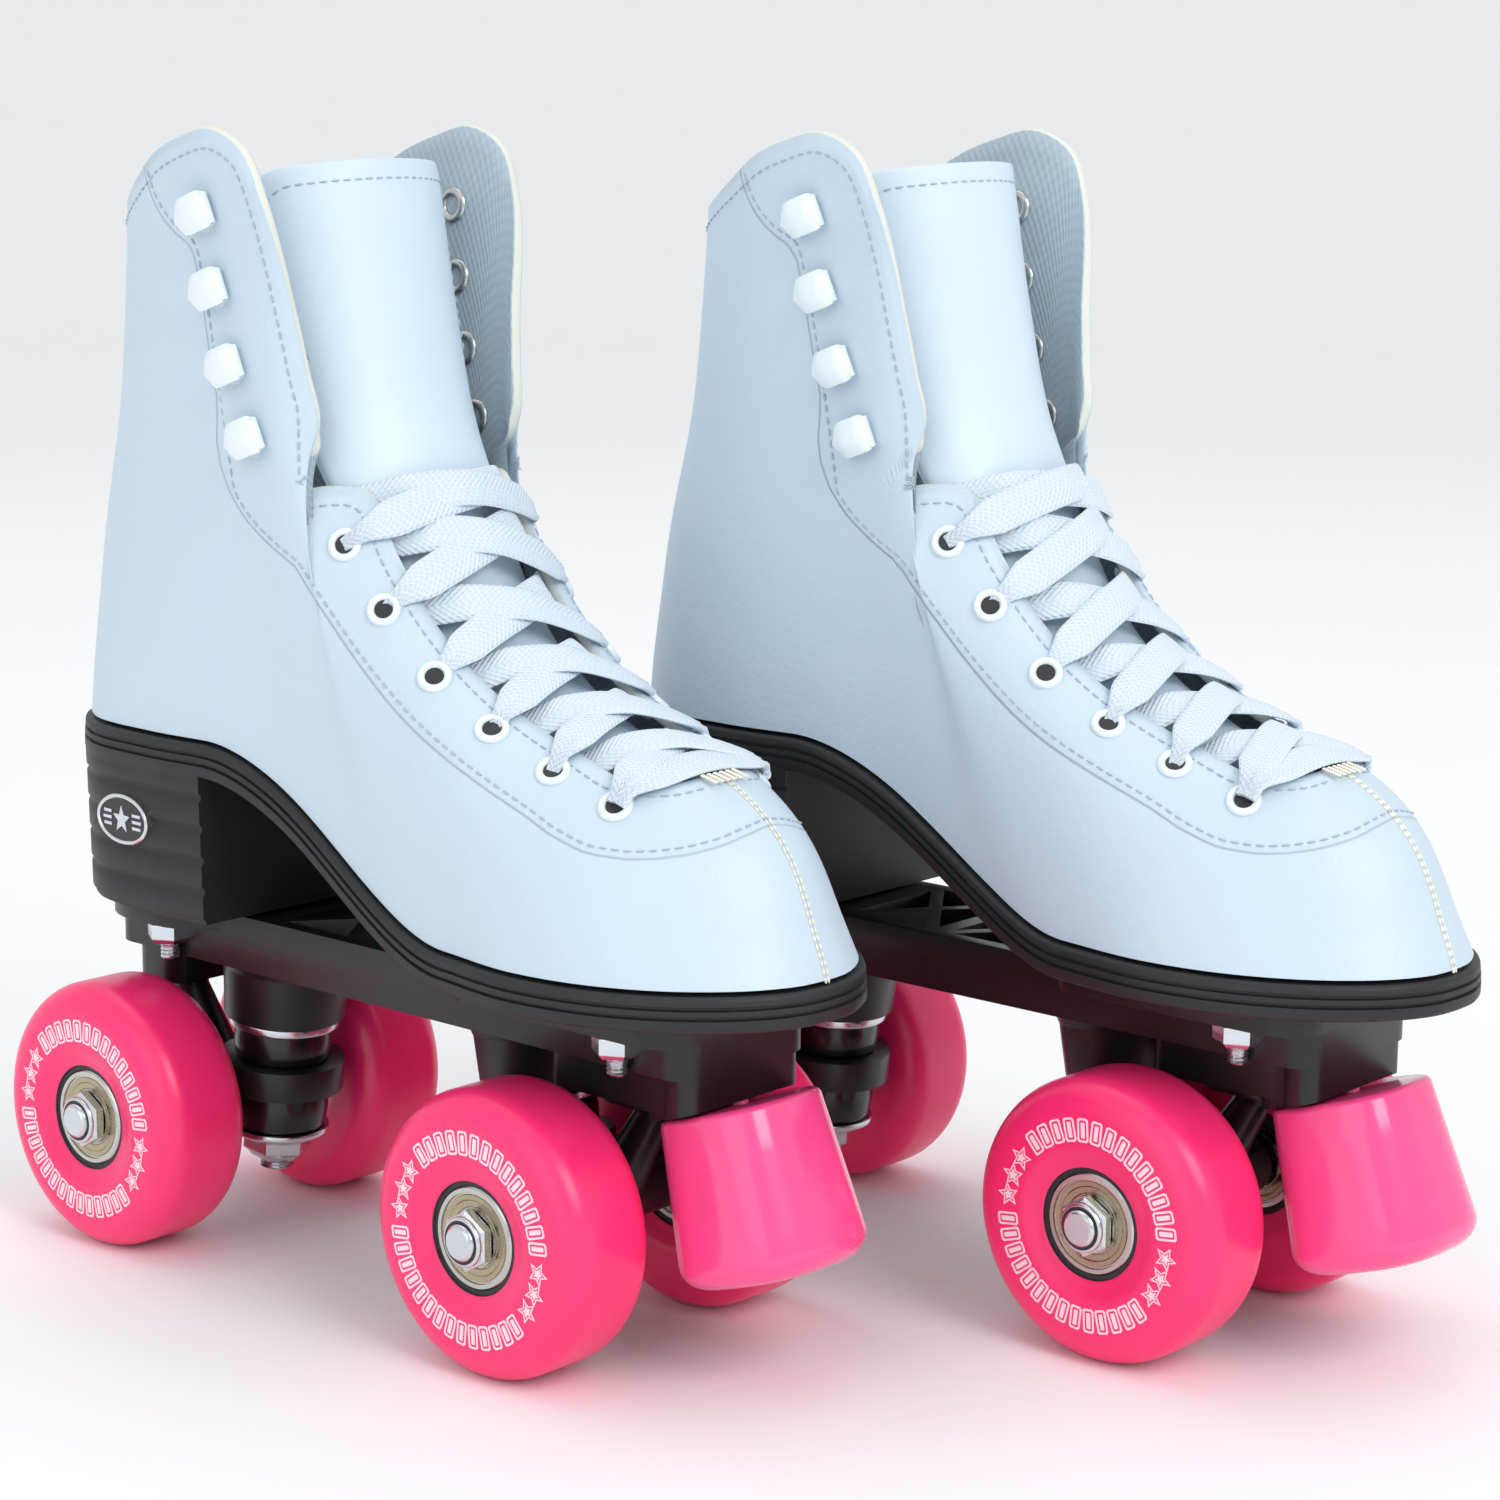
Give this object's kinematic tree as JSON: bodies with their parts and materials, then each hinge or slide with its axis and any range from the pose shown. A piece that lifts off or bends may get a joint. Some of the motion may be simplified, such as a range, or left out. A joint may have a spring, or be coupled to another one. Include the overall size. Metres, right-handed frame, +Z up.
{
  "type": "quad roller skates",
  "caption": "Pair of white laced ankle-boot quad roller skates with black plates and trucks, pink wheels and pink toe stops.",
  "frame": {"origin": "centre of the footprint of the pair, on the ground the wheels stand on", "axes": "+Z up; -Y the way both toes point; +X towards the left skate, which stands ahead of and beside the right one"},
  "size_m": [0.1874, 0.3092, 0.2557],
  "materials": {
    "white_leather": "fine-grained white synthetic leather, slightly cool",
    "white_lace": "flat woven white lace",
    "insole_fabric": "grey woven lining",
    "black_rubber": "moulded black rubber, satin",
    "black_nylon": "moulded black nylon, satin",
    "black_cushion": "black urethane cushion",
    "pink_urethane": "cast hot-pink urethane, satin gloss",
    "pink_stopper": "cast hot-pink urethane, glossy",
    "bright_steel": "bright zinc-plated steel",
    "bearing_steel": "steel bearing shields"
  },
  "bodies": {
    "right_chassis": {"right_boot_upper": "white_leather", "right_footbed": "insole_fabric", "right_outsole": "black_rubber", "right_tongue_lower": "white_leather", "right_lace": "white_lace", "right_plate": "black_nylon", "right_toe_stop": "pink_stopper", "right_front_kingpin": "bright_steel", "right_rear_kingpin": "bright_steel", "right_front_cushion_upper": "black_cushion", "right_front_cushion_lower": "black_cushion", "right_rear_cushion_upper": "black_cushion", "right_rear_cushion_lower": "black_cushion"},
    "right_tongue": {"right_tongue_upper": "white_leather"},
    "right_front_truck": {"right_front_hanger": "black_nylon", "right_front_axle": "bright_steel", "right_front_outer_axle_nut": "bright_steel", "right_front_inner_axle_nut": "bright_steel"},
    "right_front_outer_wheel_set": {"right_front_outer_wheel": "pink_urethane", "right_front_outer_bearings": "bearing_steel"},
    "right_front_inner_wheel_set": {"right_front_inner_wheel": "pink_urethane", "right_front_inner_bearings": "bearing_steel"},
    "right_rear_truck": {"right_rear_hanger": "black_nylon", "right_rear_axle": "bright_steel", "right_rear_outer_axle_nut": "bright_steel", "right_rear_inner_axle_nut": "bright_steel"},
    "right_rear_outer_wheel_set": {"right_rear_outer_wheel": "pink_urethane", "right_rear_outer_bearings": "bearing_steel"},
    "right_rear_inner_wheel_set": {"right_rear_inner_wheel": "pink_urethane", "right_rear_inner_bearings": "bearing_steel"},
    "left_chassis": {"left_boot_upper": "white_leather", "left_footbed": "insole_fabric", "left_outsole": "black_rubber", "left_tongue_lower": "white_leather", "left_lace": "white_lace", "left_plate": "black_nylon", "left_toe_stop": "pink_stopper", "left_front_kingpin": "bright_steel", "left_rear_kingpin": "bright_steel", "left_front_cushion_upper": "black_cushion", "left_front_cushion_lower": "black_cushion", "left_rear_cushion_upper": "black_cushion", "left_rear_cushion_lower": "black_cushion"},
    "left_tongue": {"left_tongue_upper": "white_leather"},
    "left_front_truck": {"left_front_hanger": "black_nylon", "left_front_axle": "bright_steel", "left_front_outer_axle_nut": "bright_steel", "left_front_inner_axle_nut": "bright_steel"},
    "left_front_outer_wheel_set": {"left_front_outer_wheel": "pink_urethane", "left_front_outer_bearings": "bearing_steel"},
    "left_front_inner_wheel_set": {"left_front_inner_wheel": "pink_urethane", "left_front_inner_bearings": "bearing_steel"},
    "left_rear_truck": {"left_rear_hanger": "black_nylon", "left_rear_axle": "bright_steel", "left_rear_outer_axle_nut": "bright_steel", "left_rear_inner_axle_nut": "bright_steel"},
    "left_rear_outer_wheel_set": {"left_rear_outer_wheel": "pink_urethane", "left_rear_outer_bearings": "bearing_steel"},
    "left_rear_inner_wheel_set": {"left_rear_inner_wheel": "pink_urethane", "left_rear_inner_bearings": "bearing_steel"}
  },
  "joints": [
    {"name": "right_tongue_fold", "type": "hinge", "parent": "right_chassis", "child": "right_tongue", "pos_m": [-0.04745, 0.04474, 0.18821], "axis": [1, 0, 0], "range_deg": [0, 35], "stiffness_Nm_per_rad": 0.15},
    {"name": "right_front_steer", "type": "hinge", "parent": "right_chassis", "child": "right_front_truck", "pos_m": [-0.04745, 0.01549, 0.038], "axis": [0, -0.8955, 0.445], "range_deg": [-7, 7], "stiffness_Nm_per_rad": 8, "deforming": ["right_front_cushion_upper", "right_front_cushion_lower"]},
    {"name": "right_front_outer_roll", "type": "hinge", "parent": "right_front_truck", "child": "right_front_outer_wheel_set", "pos_m": [-0.0781, -0.00371, 0.031], "axis": [1, 0, 0], "continuous": true},
    {"name": "right_front_inner_roll", "type": "hinge", "parent": "right_front_truck", "child": "right_front_inner_wheel_set", "pos_m": [-0.0168, -0.00371, 0.031], "axis": [1, 0, 0], "continuous": true},
    {"name": "right_rear_steer", "type": "hinge", "parent": "right_chassis", "child": "right_rear_truck", "pos_m": [-0.04745, 0.10439, 0.038], "axis": [0, 0.8955, 0.445], "range_deg": [-7, 7], "stiffness_Nm_per_rad": 8, "deforming": ["right_rear_cushion_upper", "right_rear_cushion_lower"]},
    {"name": "right_rear_outer_roll", "type": "hinge", "parent": "right_rear_truck", "child": "right_rear_outer_wheel_set", "pos_m": [-0.0781, 0.12359, 0.031], "axis": [1, 0, 0], "continuous": true},
    {"name": "right_rear_inner_roll", "type": "hinge", "parent": "right_rear_truck", "child": "right_rear_inner_wheel_set", "pos_m": [-0.0168, 0.12359, 0.031], "axis": [1, 0, 0], "continuous": true},
    {"name": "left_skate_lift", "type": "slide", "parent": "right_chassis", "child": "left_chassis", "axis": [0, 0, 1], "range_m": [0, 0.35]},
    {"name": "left_tongue_fold", "type": "hinge", "parent": "left_chassis", "child": "left_tongue", "pos_m": [0.04745, -0.04296, 0.18821], "axis": [1, 0, 0], "range_deg": [0, 35], "stiffness_Nm_per_rad": 0.15},
    {"name": "left_front_steer", "type": "hinge", "parent": "left_chassis", "child": "left_front_truck", "pos_m": [0.04745, -0.07221, 0.038], "axis": [0, -0.8955, 0.445], "range_deg": [-7, 7], "stiffness_Nm_per_rad": 8, "deforming": ["left_front_cushion_upper", "left_front_cushion_lower"]},
    {"name": "left_front_outer_roll", "type": "hinge", "parent": "left_front_truck", "child": "left_front_outer_wheel_set", "pos_m": [0.0781, -0.09141, 0.031], "axis": [1, 0, 0], "continuous": true},
    {"name": "left_front_inner_roll", "type": "hinge", "parent": "left_front_truck", "child": "left_front_inner_wheel_set", "pos_m": [0.0168, -0.09141, 0.031], "axis": [1, 0, 0], "continuous": true},
    {"name": "left_rear_steer", "type": "hinge", "parent": "left_chassis", "child": "left_rear_truck", "pos_m": [0.04745, 0.01669, 0.038], "axis": [0, 0.8955, 0.445], "range_deg": [-7, 7], "stiffness_Nm_per_rad": 8, "deforming": ["left_rear_cushion_upper", "left_rear_cushion_lower"]},
    {"name": "left_rear_outer_roll", "type": "hinge", "parent": "left_rear_truck", "child": "left_rear_outer_wheel_set", "pos_m": [0.0781, 0.03589, 0.031], "axis": [1, 0, 0], "continuous": true},
    {"name": "left_rear_inner_roll", "type": "hinge", "parent": "left_rear_truck", "child": "left_rear_inner_wheel_set", "pos_m": [0.0168, 0.03589, 0.031], "axis": [1, 0, 0], "continuous": true}
  ]
}
